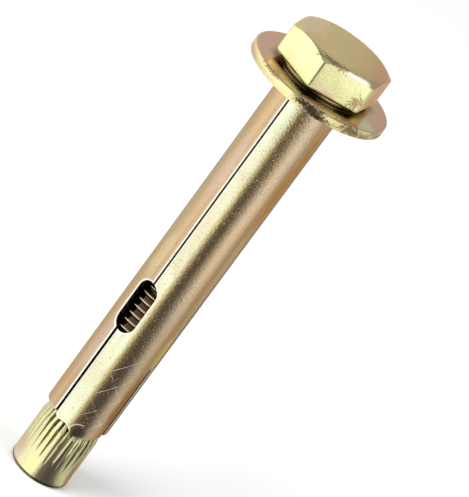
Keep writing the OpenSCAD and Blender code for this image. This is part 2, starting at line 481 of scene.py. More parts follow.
# %% Fill, ease the outer rim, thicken, round the edges and cut into columns
blank = bmesh.ops.contextual_create(bm, geom=outline)["faces"]
eased = bmesh.ops.inset_region(
    bm, faces=blank, thickness=eased_w, use_boundary=True, use_even_offset=True
)
blank = blank + eased["faces"]
border = {vert for edge in bm.edges if edge.is_boundary for vert in edge.verts}
for vert in border:
    vert.co.y += eased_drop
print("the rim is eased at", len(border), "of", len(bm.verts), "points")
back = bmesh.ops.extrude_face_region(bm, geom=blank)["geom"]
back_verts = [item for item in back if isinstance(item, bmesh.types.BMVert)]
for vert in back_verts:
    vert.co.y = wall
bmesh.ops.recalc_face_normals(bm, faces=bm.faces)
rims = [edge for edge in bm.edges if edge.calc_face_angle(0) > math.radians(60)]
rims = [edge for edge in rims if abs(edge.verts[0].co.y - edge.verts[1].co.y) < wall / 2]
bmesh.ops.bevel(
    bm, geom=rims, offset=sheet_edge, segments=3, profile=0.5, affect="EDGES", material=-1
)
columns = 144
column_w = math.tau * sleeve_r / columns
cuts = [((along(seam_deg) + column_w * (i + 0.5), 0, 0), (1, 0, 0)) for i in range(columns)]
row_zs = [mouth_z + 0.12 * MM * i for i in range(1, 22)]
row_zs += [row_zs[-1] + 0.7 * MM * i for i in range(1, 26)]
row_zs += [window_bottom - 1.2 * MM + 0.4 * MM * i for i in range(33)]
row_zs += [window_top + 2.0 * MM * i for i in range(1, 21)] + [sleeve_top - 0.5 * MM]
cuts += [((0, 0, z), (0, 0, 1)) for z in row_zs]
for place, direction in cuts:
    everything = bm.verts[:] + bm.edges[:] + bm.faces[:]
    bmesh.ops.bisect_plane(bm, geom=everything, dist=1e-7, plane_co=place, plane_no=direction)
print("flat blank of", len(bm.faces), "faces")

# %% Roll the blank and turn its mouth in
mouth_h, mouth_in = 1.9 * MM, 0.5 * MM
cone_slope = math.tan(math.radians(11.3))
flare_top = mouth_z + 1.5 * MM


def wall_radii(z):
    """Inner and outer radius of the rolled sleeve at height z."""
    rise = min(max((z - mouth_z) / mouth_h, 0), 1)
    outer = sleeve_r - mouth_in * (1 - math.sqrt(1 - (1 - rise) ** 2))
    inner = bore_r + max(0, flare_top - z) * cone_slope
    return inner, outer


depth_layer = bm.verts.layers.float.new("depth")
for vert in bm.verts:
    x, depth, z = vert.co
    vert[depth_layer] = depth / MM
    inner, outer = wall_radii(z)
    radius = outer + (inner - outer) * depth / wall
    turn = x / sleeve_r
    vert.co = Vector((radius * math.sin(turn), -radius * math.cos(turn), z))
sleeve = finish_piece("sleeve", bm, "sleeve", "sleeve")

# %% [markdown]
# ## Cone nut
# The nut is a short tube with a cone on top. Rolled V-grooves run up its outside, deeper and
# deeper, and through the cone, so that the ribs between them bite into the drilled hole. The
# body is spun from its profile; each point outside is then pushed in to the nearest groove.

# %% Nut values
nut_body_top = nut_top - 3.1 * MM
cone_top_r = nut_r - (nut_top - nut_body_top) * cone_slope
nut_edge_r = 0.6 * MM
groove_count = 28
groove_low = 3.6 * MM
groove_turn_deg = 3.5
groove_half_w = 0.34 * MM
groove_depth = 0.42 * MM
nut_mouth_r = nut_zone_crest_r + thread_gap + 0.05 * MM
columns_per_groove = 12


def groove_cut(deg_from_groove, z):
    """How deep the V-groove is at this angle from its middle and at this height."""
    share = min(max((z - groove_low) / (nut_top - groove_low), 0), 1)
    half_w = groove_half_w * (0.45 + 0.55 * share**0.5)
    sideways = nut_r * math.radians(abs(deg_from_groove)) / half_w
    return groove_depth * share**0.6 * max(0, 1 - sideways)


# %% Spin the nut, press in the grooves and bridge in its thread
bm = bmesh.new()
profile = [(nut_mouth_r, 0, 0), (nut_r - nut_edge_r, 0, 0)]
for step in range(1, 7):
    turn = math.radians(15 * step)
    x = nut_r - nut_edge_r * (1 - math.sin(turn))
    profile.append((x, 0, nut_edge_r * (1 - math.cos(turn))))
rows = 44
for row in range(1, rows + 1):
    z = nut_edge_r + (nut_top - nut_edge_r) * row / rows
    profile.append((min(nut_r, cone_top_r + (nut_top - z) * cone_slope), 0, z))
profile.append((nut_mouth_r, 0, nut_top))
spin_round(bm, draw_line(bm, profile), groove_count * columns_per_groove)
groove_step = 360 / groove_count
for vert in bm.verts:
    if vert.co.z > groove_low and vert.co.xy.length > nut_mouth_r + 0.01 * MM:
        deg = math.degrees(math.atan2(vert.co.x, -vert.co.y)) - groove_turn_deg
        from_groove = (deg + groove_step / 2) % groove_step - groove_step / 2
        radius = vert.co.xy.length - groove_cut(from_groove, vert.co.z)
        vert.co = on_circle(vert.co, radius, vert.co.z)
bore = bmesh.new()
thread_strip(bore, 0, nut_top, root_r + thread_gap, nut_zone_crest_r + thread_gap)
bore_mesh = bpy.data.meshes.new("bore")
bore.to_mesh(bore_mesh)
bore.free()
bm.from_mesh(bore_mesh)
for z in (0, nut_top):
    loops = [
        edge
        for edge in bm.edges
        if edge.is_boundary and all(abs(v.co.z - z) < 0.01 * MM for v in edge.verts)
    ]
    bmesh.ops.bridge_loops(bm, edges=loops)
nut = finish_piece("nut", bm, "cone_nut", "nut")

# %% [markdown]
# ## Golden zinc
# Zinc plate that was dipped in chromate is gold, but never evenly: the film's thickness
# changes a little, and with it the colour, from pale yellow over tan and pink to olive. Two
# node groups give that to every piece. One makes soft patches and streaks of film colour, the
# other the fine grain and the scattered bright and dark specks of plated steel.

# %% Node helpers


def new_group(name, inputs, outputs):
    """An empty shader node group with named inputs and outputs."""
    group = bpy.data.node_groups.new(name, "ShaderNodeTree")
    for label, kind, value in inputs:
        socket = group.interface.new_socket(label, in_out="INPUT", socket_type=kind)
        socket.default_value = value
    for label, kind in outputs:
        group.interface.new_socket(label, in_out="OUTPUT", socket_type=kind)
    return group, group.nodes.new("NodeGroupInput"), group.nodes.new("NodeGroupOutput")


class Wires:
    """Adds nodes to a tree and links their sockets in one line each."""

    def __init__(self, tree):
        self.tree = tree

    def node(self, kind, settings=None, **sockets):
        """A new node with its settings, and with values or links for its inputs."""
        made = self.tree.nodes.new(kind)
        for key, value in (settings or {}).items():
            setattr(made, key, value)
        for key, value in sockets.items():
            self.feed(value, made.inputs[key.replace("_", " ")])
        return made

    def feed(self, value, socket):
        """Links a socket to this input, or writes a plain value into it."""
        if isinstance(value, bpy.types.NodeSocket):
            self.tree.links.new(value, socket)
        else:
            socket.default_value = value

    def math(self, operation, first, second=0.5, third=0.5, clamp=False):
        """The outcome of one sum."""
        made = self.tree.nodes.new("ShaderNodeMath")
        made.operation, made.use_clamp = operation, clamp
        for value, socket in zip((first, second, third), made.inputs):
            self.feed(value, socket)
        return made.outputs[0]

    def noise(self, vector, scale, detail=2.0, rough=0.5, distortion=0.0):
        """Soft noise about 0.5; scale is in waves per metre."""
        made = self.node(
            "ShaderNodeTexNoise", Vector=vector, Scale=scale, Detail=detail, Roughness=rough
        )
        made.inputs["Distortion"].default_value = distortion
        return made.outputs["Fac"]

    def span(self, value, low, high, to_low=0.0, to_high=1.0):
        """Maps low..high smoothly to to_low..to_high."""
        made = self.node("ShaderNodeMapRange", {"interpolation_type": "SMOOTHSTEP"})
        for item, socket in zip((value, low, high, to_low, to_high), made.inputs):
            self.feed(item, socket)
        return made.outputs[0]

    def mix(self, share, first, second, blend="MIX"):
        """A mixed colour; share 0 gives the first one."""
        made = self.tree.nodes.new("ShaderNodeMix")
        made.data_type, made.blend_type = "RGBA", blend
        self.feed(share, made.inputs[0])
        self.feed(first, made.inputs[6])
        self.feed(second, made.inputs[7])
        return made.outputs[2]

    def squeezed(self, vector, scale):
        """The same coordinates, stretched or squeezed along the axes."""
        return self.node("ShaderNodeMapping", Vector=vector, Scale=scale).outputs[0]

    def parts(self, vector):
        """The vector's X, Y and Z sockets."""
        return self.node("ShaderNodeSeparateXYZ", Vector=vector).outputs

    def length(self, vector):
        """How long the vector is."""
        made = self.node("ShaderNodeVectorMath", {"operation": "LENGTH"})
        self.feed(vector, made.inputs[0])
        return made.outputs["Value"]


# %% Film colour group
film, film_in, film_out = new_group(
    "zinc film",
    [
        ("Vector", "NodeSocketVector", (0, 0, 0)),
        ("Main", "NodeSocketColor", (0.84, 0.78, 0.45, 1)),
        ("Warm", "NodeSocketColor", (0.78, 0.52, 0.30, 1)),
        ("Cool", "NodeSocketColor", (0.62, 0.60, 0.40, 1)),
        ("Patches", "NodeSocketFloat", 0.5),
        ("Streaks", "NodeSocketFloat", 0.5),
    ],
    [("Color", "NodeSocketColor")],
)
wires = Wires(film)
place = film_in.outputs["Vector"]
patch = wires.span(wires.noise(place, 95.0, 3.0, 0.55, 0.6), 0.42, 0.66)
streak_place = wires.squeezed(place, (1, 1, 0.09))
streak = wires.span(wires.noise(streak_place, 420.0, 3.0, 0.6), 0.45, 0.68)
cool_patch = wires.span(wires.noise(place, 140.0, 2.0, 0.5, 0.3), 0.54, 0.72)
colour = wires.mix(
    wires.math("MULTIPLY", patch, film_in.outputs["Patches"]),
    film_in.outputs["Main"],
    film_in.outputs["Warm"],
)
colour = wires.mix(
    wires.math("MULTIPLY", cool_patch, film_in.outputs["Patches"]),
    colour,
    film_in.outputs["Cool"],
)
colour = wires.mix(
    wires.math("MULTIPLY", streak, film_in.outputs["Streaks"]),
    colour,
    film_in.outputs["Warm"],
)
wires.feed(colour, film_out.inputs["Color"])

# %% Grain group
grain, grain_in, grain_out = new_group(
    "plated grain",
    [
        ("Vector", "NodeSocketVector", (0, 0, 0)),
        ("Color", "NodeSocketColor", (0.8, 0.7, 0.4, 1)),
        ("Roughness", "NodeSocketFloat", 0.2),
        ("Specks", "NodeSocketFloat", 0.5),
    ],
    [
        ("Color", "NodeSocketColor"),
        ("Roughness", "NodeSocketFloat"),
        ("Height", "NodeSocketFloat"),
    ],
)
wires = Wires(grain)
place = grain_in.outputs["Vector"]
fine = wires.noise(place, 5200.0, 2.0, 0.6)
middle = wires.noise(place, 2400.0, 3.0, 0.6)
crowded = wires.span(wires.noise(place, 210.0, 2.0), 0.4, 0.65, 0.02, -0.03)
specks = wires.span(wires.noise(place, 3300.0, 2.0, 0.6), wires.math("ADD", crowded, 0.66), 0.76)
specks = wires.math("MULTIPLY", specks, grain_in.outputs["Specks"])
shade = wires.span(fine, 0.3, 0.7, 0.9, 1.05)
shade_colour = wires.node("ShaderNodeCombineColor", Red=shade, Green=shade, Blue=shade)
colour = wires.mix(1.0, grain_in.outputs["Color"], shade_colour.outputs[0], "MULTIPLY")
colour = wires.mix(wires.math("MULTIPLY", specks, 0.6), colour, (0.16, 0.12, 0.07, 1))
wires.feed(colour, grain_out.inputs["Color"])
uneven = wires.math("SUBTRACT", middle, 0.5)
rough = wires.math("MULTIPLY_ADD", uneven, 0.14, grain_in.outputs["Roughness"])
rough = wires.math("MULTIPLY_ADD", specks, 0.25, rough, clamp=True)
wires.feed(rough, grain_out.inputs["Roughness"])
height = wires.math("MULTIPLY_ADD", middle, 0.7, wires.math("MULTIPLY", fine, 0.3))
height = wires.math("SUBTRACT", height, wires.math("MULTIPLY", specks, 1.6))
wires.feed(height, grain_out.inputs["Height"])

# %% Painted crevice shade and edge group
shade_and_wear, shade_and_wear_in, shade_and_wear_out = new_group(
    "painted crevice shade and edge",
    [
        ("Reach", "NodeSocketFloat", 0.001),
        ("Width", "NodeSocketFloat", 0.0003),
    ],
    [("Crevice", "NodeSocketFloat"), ("Edge", "NodeSocketFloat")],
)
wires = Wires(shade_and_wear)
# Ambient occlusion darkens corners, gaps and the room between pieces: painted shade.
occlusion_shade = wires.node(
    "ShaderNodeAmbientOcclusion", {"samples": 8}, Distance=shade_and_wear_in.outputs["Reach"]
)
crevice = wires.span(occlusion_shade.outputs["AO"], 0.4, 0.95, 1.0, 0.0)
wires.feed(crevice, shade_and_wear_out.inputs["Crevice"])
# The Bevel node finds rounded edges, which turn pale: partly wear, partly a painted highlight.
rounded = wires.node("ShaderNodeBevel", {"samples": 6}, Radius=shade_and_wear_in.outputs["Width"])
agree = wires.node("ShaderNodeVectorMath", {"operation": "DOT_PRODUCT"})
wires.feed(rounded.outputs[0], agree.inputs[0])
wires.feed(wires.node("ShaderNodeNewGeometry").outputs["Normal"], agree.inputs[1])
edge = wires.span(agree.outputs["Value"], 0.9, 0.993, 1.0, 0.0)
edge = wires.math("MULTIPLY", edge, wires.math("SUBTRACT", 1.0, crevice, clamp=True))
wires.feed(edge, shade_and_wear_out.inputs["Edge"])

# %% Film colours and a zinc material
pale, pale_white = (0.86, 0.84, 0.47), (0.87, 0.90, 0.64)
tan, pink, olive = (0.76, 0.50, 0.28), (0.67, 0.45, 0.38), (0.66, 0.58, 0.31)
orange, beige = (0.95, 0.40, 0.15), (0.78, 0.64, 0.46)
# The first is the colour of painted shade in crevices, the second pale zinc for wear and painted
# highlights.
crevice_shade_brown, worn_zinc_and_highlight = (0.035, 0.022, 0.012), (0.95, 0.93, 0.82)


def zinc_material(
    name,
    main,
    patches,
    streaks,
    roughness,
    specks,
    bump,
    reach,
    pale_edges,
    pale_edges_above=0.0,
    crevice=crevice_shade_brown,
):
    """Film colour, grain, painted shade in crevices and pale edges on a golden metal; the pale
    edges are partly wear and partly a painted highlight.

    bump is the grain's height, and reach how far from a corner the painted shade goes, both in
    mm.
    """
    material = bpy.data.materials.new(name)
    material.use_nodes = True
    wires = Wires(material.node_tree)
    shader = material.node_tree.nodes["Principled BSDF"]
    shader.inputs["Specular Tint"].default_value = (1.0, 0.86, 0.66, 1)
    place = wires.node("ShaderNodeTexCoord").outputs["Object"]
    film_node = wires.node("ShaderNodeGroup", {"node_tree": film}, Vector=place)
    for label, value in (("Main", main), ("Warm", tan), ("Cool", olive)):
        wires.feed((*value, 1), film_node.inputs[label])
    film_node.inputs["Patches"].default_value = patches
    film_node.inputs["Streaks"].default_value = streaks
    grain_node = wires.node(
        "ShaderNodeGroup",
        {"node_tree": grain},
        Vector=place,
        Color=film_node.outputs["Color"],
        Roughness=roughness,
        Specks=specks,
    )
    shade_and_wear_node = wires.node("ShaderNodeGroup", {"node_tree": shade_and_wear}, Reach=reach * MM)
    shade_and_wear_node.inputs["Width"].default_value = 0.35 * MM
    bump_node = wires.node("ShaderNodeBump", Strength=1.0, Height=grain_node.outputs["Height"])
    bump_node.inputs["Distance"].default_value = bump * MM
    height = wires.parts(place)["Z"]
    edge = wires.math("MULTIPLY", shade_and_wear_node.outputs["Edge"], pale_edges)
    edge = wires.math("MULTIPLY", edge, wires.span(height, pale_edges_above - 1 * MM, pale_edges_above))
    # Painted shade: crevices, gaps and the room between pieces turn dark brown.
    colour = wires.mix(shade_and_wear_node.outputs["Crevice"], grain_node.outputs["Color"], (*crevice, 1))
    # Pale edges, partly wear and partly a painted highlight.
    colour = wires.mix(edge, colour, (*worn_zinc_and_highlight, 1))
    wires.feed(colour, shader.inputs["Base Color"])
    wires.feed(wires.math("MULTIPLY_ADD", edge, -0.3, 1.0), shader.inputs["Metallic"])
    wires.feed(grain_node.outputs["Roughness"], shader.inputs["Roughness"])
    wires.feed(bump_node.outputs["Normal"], shader.inputs["Normal"])
    return material, wires, place, film_node, grain_node


def spot_mask(wires, place, centre, size, strength=1.0, grainy=False):
    """A ragged patch round a place, soft or grainy; centre and size are in mm."""
    spot = wires.node("ShaderNodeMapping", Vector=place)
    spot.inputs["Scale"].default_value = [1 / (reach * MM) for reach in size]
    spot.inputs["Location"].default_value = [-c / reach for c, reach in zip(centre, size)]
    from_centre = wires.length(spot.outputs[0])
    ragged = wires.noise(place, 2300.0 if grainy else 420.0, 4.0, 0.6)
    ragged = wires.math("SUBTRACT", ragged, 0.5)
    ragged = wires.math("MULTIPLY_ADD", ragged, 3.6 if grainy else 0.9, from_centre)
    return wires.span(ragged, 0.5, 1.05, strength, 0.0)


def lay_spots(wires, place, under, spots, strength=1.0, grainy=False):
    """Lays patches of other film colours over what is under them, one after the other."""
    for colour, centre, size in spots:
        mask = spot_mask(wires, place, centre, size, strength, grainy)
        under = wires.mix(mask, under, (*colour, 1))
    return under


def ramp_round(wires, share, colours, interpolation):
    """A colour ramp over the angle round the axis, closed on itself."""
    ramp = wires.node("ShaderNodeValToRGB", Fac=share)
    ramp.color_ramp.interpolation = interpolation
    stops = ramp.color_ramp.elements
    for index, (deg, colour) in enumerate(colours):
        stop = stops[0] if index == 0 else stops.new(deg / 360 + 0.5)
        stop.position = deg / 360 + 0.5
        stop.color = (*colour, 1)
    stops[-1].color = (*colours[0][1], 1)
    return ramp.outputs["Color"]


# %% [markdown]
# ## Colours of the four pieces
# The bolt's head is olive gold on top and pale yellow on its flats, the washer pinkish brown
# with a yellow rim, the nut pale yellow. A mask from the normal's height tells a top from an
# upright side; the brighter upright sides are partly film colour and partly painted light. On
# the sleeve the colour runs in broad bands along the tube, partly the film's colour and partly
# painted reflection of the bright and dark bands round it, so a ramp over the angle round the
# axis sets it, and noise keeps the bands from being straight. Soft spots add what is
# particular to a place, and some of them are painted shade.

# %% Bolt
def upward_mask(wires):
    """1 on faces that look up, 0 on upright ones."""
    normal = wires.node("ShaderNodeNewGeometry").outputs["Normal"]
    return wires.span(wires.parts(normal)["Z"], 0.5, 0.85)


bolt_material, wires, place, film_node, grain_node = zinc_material(
    "bolt zinc",
    pale,
    patches=0.3,
    streaks=0.1,
    roughness=0.1,
    specks=0.5,
    bump=0.003,
    reach=1.0,
    pale_edges=0.8,
    pale_edges_above=thread_end,
)
# The flats are painted bright yellow and the top olive: partly film colour, partly painted light.
main = wires.mix(upward_mask(wires), (0.98, 0.96, 0.50, 1), (*olive, 1))
wires.feed(main, film_node.inputs["Main"])
soft_spots = [
    (beige, (-6.5, 2.0, 93.0), (3.2, 7.0, 2.0)),
    ((0.72, 0.46, 0.30), (8.0, 0.0, 93.0), (3.4, 8.0, 2.0)),
    (orange, (8.9, -1.0, 90.0), (1.6, 5.0, 4.0)),
    ((0.80, 0.60, 0.44), (2.0, -8.9, 87.4), (3.4, 1.6, 0.9)),
]
grainy_spots = [
    ((0.40, 0.26, 0.12), (6.4, -6.6, 88.6), (1.1, 1.4, 1.8)),
    ((0.30, 0.20, 0.12), (0.6, -8.4, 92.7), (4.4, 0.7, 0.6)),
]
colour = lay_spots(wires, place, film_node.outputs["Color"], soft_spots)
colour = lay_spots(wires, place, colour, grainy_spots, 0.8, True)

# %% Bolt's pale chamfer band and its thread
# A pale band along the chamfer: partly bare zinc, partly a painted highlight.
pale_chamfer_band = spot_mask(wires, place, (4.5, -7.4, 92.6), (4.4, 1.8, 0.46))
colour = wires.mix(pale_chamfer_band, colour, (*worn_zinc_and_highlight, 1))
shader = bolt_material.node_tree.nodes["Principled BSDF"]
metal = shader.inputs["Metallic"].links[0].from_socket
wires.feed(wires.math("MULTIPLY_ADD", pale_chamfer_band, -0.6, metal, clamp=True), shader.inputs["Metallic"])
radius = wires.length(wires.squeezed(place, (1, 1, 0)))
height = wires.parts(place)["Z"]
thread_colour, valley_shade_colour = (0.88, 0.78, 0.62, 1), (0.16, 0.10, 0.055, 1)
valley_from, crest_from = 4.6 * MM, 4.86 * MM
threaded = wires.span(height, thread_end + 3 * MM, thread_end + 8 * MM, 1.0, 0.0)
lower_crest = crest_r - nut_zone_crest_r
thinner = wires.span(height, zone_top - 0.1 * MM, zone_top + 0.1 * MM, lower_crest, 0.0)
radius = wires.math("ADD", radius, thinner)
# The thread's valleys are painted dark brown: painted shade.
valley_shade = wires.math("MULTIPLY", wires.span(radius, valley_from, crest_from, 1.0, 0.0), threaded)
colour = wires.mix(threaded, colour, thread_colour)
colour = wires.mix(valley_shade, colour, valley_shade_colour)
wires.feed(colour, grain_node.inputs["Color"])
bolt.data.materials.append(bolt_material)
print("bolt's nodes", len(bolt_material.node_tree.nodes))

# %% Washer
washer_material, wires, place, film_node, grain_node = zinc_material(
    "washer zinc",
    pink,
    patches=0.3,
    streaks=0.0,
    roughness=0.16,
    specks=0.7,
    bump=0.006,
    reach=2.0,
    pale_edges=0.6,
    # Its crevices get a paler painted shade.
    crevice=(0.22, 0.15, 0.09),
)
# The upright rim is painted yellow and the top pinkish: partly film colour, partly painted light.
main = wires.mix(upward_mask(wires), (0.90, 0.84, 0.42, 1), (*pink, 1))
wires.feed(main, film_node.inputs["Main"])
soft_spots = [
    ((0.66, 0.70, 0.50), (9.2, -5.4, 86.3), (3.4, 3.0, 0.6)),
    # This darker patch on the top in front of the head is painted shade.
    ((0.46, 0.41, 0.34), (-0.5, -10.0, 86.3), (9.5, 3.6, 0.6)),
    (beige, (-11.5, -5.5, 85.2), (2.5, 3.0, 0.9)),
    ((0.60, 0.44, 0.26), (10.8, -7.0, 85.0), (2.2, 1.6, 0.9)),
]
grainy_spots = [
    ((0.10, 0.08, 0.04), (1.8, -12.7, 85.5), (3.6, 0.9, 1.1)),
    ((0.22, 0.15, 0.08), (8.4, -9.8, 85.5), (3.4, 2.2, 1.0)),
    ((0.30, 0.22, 0.10), (-7.5, -10.5, 86.1), (3.0, 2.2, 0.4)),
]
colour = lay_spots(wires, place, film_node.outputs["Color"], soft_spots)
colour = lay_spots(wires, place, colour, grainy_spots, 0.85, True)
wires.feed(colour, grain_node.inputs["Color"])

# %% What the head mirrors of the washer: a painted reflection
# Rays mirrored off other pieces see the washer paler than the camera does: a painted reflection
# in the head's flats.
mirrored = wires.node("ShaderNodeLightPath").outputs["Is Glossy Ray"]
shader = washer_material.node_tree.nodes["Principled BSDF"]
seen = shader.inputs["Base Color"].links[0].from_socket
wires.feed(wires.mix(mirrored, seen, (0.95, 0.93, 0.80, 1)), shader.inputs["Base Color"])
washer.data.materials.append(washer_material)
print("washer's nodes", len(washer_material.node_tree.nodes))

# %% Nut
nut_material, wires, place, film_node, grain_node = zinc_material(
    "nut zinc",
    pale,
    patches=0.35,
    streaks=0.2,
    roughness=0.09,
    specks=0.5,
    bump=0.01,
    reach=0.7,
    pale_edges=0.0,
)
soft_spots = [
    (beige, (-4.6, -3.0, 2.0), (2.4, 2.4, 4.5)),
    ((0.66, 0.52, 0.28), (0.6, -5.5, 4.0), (0.45, 0.8, 7.0)),
    ((0.60, 0.42, 0.24), (5.2, -1.6, 3.0), (0.9, 1.4, 5.0)),
    ((0.78, 0.66, 0.44), (2.3, -5.0, 3.0), (1.4, 1.5, 6.0)),
    ((0.92, 0.88, 0.44), (-1.2, -5.4, 2.4), (1.8, 1.2, 2.6)),
]
colour = lay_spots(wires, place, film_node.outputs["Color"], soft_spots)
wires.feed(colour, grain_node.inputs["Color"])
nut.data.materials.append(nut_material)
print("nut's nodes", len(nut_material.node_tree.nodes))

# %% Sleeve's bands: film colour and painted reflections
# Partly the film's colour and partly painted reflection: the pale and brown bands in front follow
# the bright and dark bands that the sleeve mirrors.
film_and_reflection_bands = [
    (-180, (0.80, 0.72, 0.42)),
    (-130, pink),
    (-100, tan),
    (-60, (0.68, 0.50, 0.28)),
    (-42, (0.78, 0.56, 0.32)),
    (-34, (0.60, 0.42, 0.24)),
    (-29, (0.62, 0.50, 0.30)),
    (-26, pale_white),
    (-6, pale_white),
    (1, (0.83, 0.73, 0.35)),
    (7, (0.78, 0.57, 0.29)),
    (24, (0.72, 0.55, 0.35)),
    (32, (0.75, 0.60, 0.41)),
    (42, (0.74, 0.56, 0.35)),
    (50, (0.72, 0.47, 0.24)),
    (64, (0.70, 0.50, 0.27)),
    (72, (0.72, 0.58, 0.46)),
    (86, (0.72, 0.62, 0.50)),
    (100, (0.80, 0.72, 0.42)),
    (135, tan),
    (165, pale),
]
sleeve_material, wires, place, film_node, grain_node = zinc_material(
    "sleeve zinc",
    pale,
    patches=0.3,
    streaks=0.25,
    roughness=0.06,
    specks=0.7,
    bump=0.045,
    reach=0.5,
    pale_edges=0.0,
)

# %% Sleeve's bands on the sheet
slit_shift, wobble_most = math.radians(8), 0.14
axes = wires.parts(place)
turn = wires.math("ARCTAN2", axes["X"], wires.math("MULTIPLY", axes["Y"], -1.0))
below_window = wires.span(axes["Z"], window_bottom, window_top, slit_shift, 0.0)
left_part = wires.span(turn, math.radians(-24), math.radians(-8), 1.0, 0.0)
moved = wires.math("MULTIPLY_ADD", below_window, left_part, turn)
wobble = wires.noise(wires.squeezed(place, (1, 1, 0.3)), 260.0, 2.0)
free = wires.span(turn, math.radians(-20), math.radians(0), 0.0, wobble_most)
wobble = wires.math("MULTIPLY", wires.math("SUBTRACT", wobble, 0.5), free)
share = wires.math("MULTIPLY_ADD", wires.math("ADD", moved, wobble), 1 / math.tau, 0.5)
wires.feed(ramp_round(wires, share, film_and_reflection_bands, "EASE"), film_node.inputs["Main"])

# %% Sleeve's spots
yellow_spot = [((0.92, 0.72, 0.18), (5.5, -2.6, 31.5), (1.0, 1.7, 4.8))]
other_spots = [
    ((0.66, 0.32, 0.08), (5.3, -2.8, 70.0), (0.8, 1.2, 15.0)),
    ((0.60, 0.30, 0.10), (5.2, -3.0, 19.5), (1.1, 1.5, 8.0)),
    # This dark patch on the front petal's bent tip is a painted dark reflection.
    ((0.42, 0.32, 0.22), (2.0, -5.6, 12.2), (1.5, 2.0, 1.4)),
    ((0.77, 0.55, 0.40), (-4.3, -4.3, 66.0), (1.6, 1.6, 9.0)),
    ((0.79, 0.64, 0.36), (-4.6, -3.8, 47.0), (1.3, 1.6, 6.0)),
    ((0.78, 0.56, 0.42), (-4.4, -4.0, 28.0), (1.6, 1.8, 9.0)),
    ((0.58, 0.56, 0.42), (-5.9, -1.8, 60.0), (0.7, 1.5, 20.0)),
]
colour = lay_spots(wires, place, film_node.outputs["Color"], yellow_spot, 0.8)
colour = lay_spots(wires, place, colour, other_spots)

# %% [markdown]
# ## Marks, painted highlights and painted shade on the sleeve
# Handling leaves marks: crossed score lines over the front petal, which show bare zinc. An arc
# where the petal's tip was bent is a painted highlight on its crease. Both are drawn on the
# flat sheet, in millimetres along and up it. The sheet's eased rims get a painted highlight,
# brightest on the left, and its cut faces and inner side get painted shade. The mesh says how
# deep in the sheet each point lies, so the same number marks rims and cut faces.

# %% Painted highlight on the bent tip's crease
across = wires.math("MULTIPLY", turn, sleeve_r / MM)
height = wires.math("MULTIPLY", axes["Z"], 1 / MM)
bend_x, bend_z, bend_r = 2.1, 11.9, 1.9
sideways = wires.math("SUBTRACT", across, bend_x)
upwards = wires.math("SUBTRACT", height, bend_z)
crease_highlight = wires.math("MULTIPLY", sideways, sideways)
crease_highlight = wires.math("SQRT", wires.math("ADD", crease_highlight, wires.math("MULTIPLY", upwards, upwards)))
crease_highlight = wires.math("ABSOLUTE", wires.math("SUBTRACT", crease_highlight, bend_r))
crease_highlight = wires.span(crease_highlight, 0.03, 0.13, 1.0, 0.0)
crease_highlight = wires.math("MULTIPLY", crease_highlight, wires.span(sideways, -0.3, 0.5, 1.0, 0.0))

# %% Score lines
rising_lines = {"fall": -1.22, "gap": 5.0, "first": 4.7, "clear": 1.0}
falling_lines = {"fall": 0.9, "gap": 6.0, "first": 1.2, "clear": 0.55}
line_half_w, line_fades = 0.02, 0.09
scores_and_crease_highlight = None
for lines in (rising_lines, falling_lines):
    line = wires.math("MULTIPLY_ADD", across, lines["fall"], height)
    line = wires.math("SUBTRACT", line, lines["first"])
    line = wires.math("PINGPONG", line, lines["gap"] / 2)
    line = wires.span(line, line_half_w, line_fades, lines["clear"], 0.0)
    scores_and_crease_highlight = line if scores_and_crease_highlight is None else wires.math("MAXIMUM", scores_and_crease_highlight, line)
for value, low, high in ((height, 12.4, 13.2), (across, 0.0, 0.8)):
    scores_and_crease_highlight = wires.math("MULTIPLY", scores_and_crease_highlight, wires.span(value, low, high))
for value, low, high in ((height, 27.0, 31.5), (across, 4.6, 6.0)):
    scores_and_crease_highlight = wires.math("MULTIPLY", scores_and_crease_highlight, wires.span(value, low, high, 1.0, 0.0))
patchy = wires.span(wires.noise(place, 420.0, 3.0), 0.36, 0.55)
scores_and_crease_highlight = wires.math("MAXIMUM", wires.math("MULTIPLY", scores_and_crease_highlight, patchy), crease_highlight)
# Score lines show bare zinc; the crease arc is a painted highlight.
colour = wires.mix(scores_and_crease_highlight, colour, (*worn_zinc_and_highlight, 1))

# %% Painted highlight on the rims, painted shade on the cut faces
rim_highlight_white, cut_face_shade_brown = (1.0, 0.98, 0.86, 1), (0.07, 0.045, 0.02, 1)
depth = wires.node("ShaderNodeAttribute", {"attribute_name": "depth"}).outputs["Fac"]
# A painted highlight on the eased rims, full on the left of the front and weaker elsewhere and
# near the mouth.
rim_highlight = wires.span(turn, math.radians(-22), math.radians(-12), 1.0, 0.25)
rim_highlight = wires.math("MULTIPLY", wires.span(depth, 0.002, 0.016), rim_highlight)
rim_highlight = wires.math("MULTIPLY", wires.span(height, 12.6, 13.6, 0.3, 1.0), rim_highlight)
colour = wires.mix(rim_highlight, colour, rim_highlight_white)
# Painted shade: the cut faces and the inner side of the sheet turn dark brown.
colour = wires.mix(wires.span(depth, 0.08, 0.2), colour, cut_face_shade_brown)
wires.feed(colour, grain_node.inputs["Color"])
shader = sleeve_material.node_tree.nodes["Principled BSDF"]
metal = shader.inputs["Metallic"].links[0].from_socket
wires.feed(wires.math("MULTIPLY_ADD", scores_and_crease_highlight, -0.55, metal), shader.inputs["Metallic"])
sleeve.data.materials.append(sleeve_material)
print("sleeve's nodes", len(sleeve_material.node_tree.nodes))

# %% [markdown]
# ## Studio
# The anchor stands on a plain pale floor. The camera looks down on it from the front through
# a long lens and is rolled, so that the anchor leans to the right in the picture.

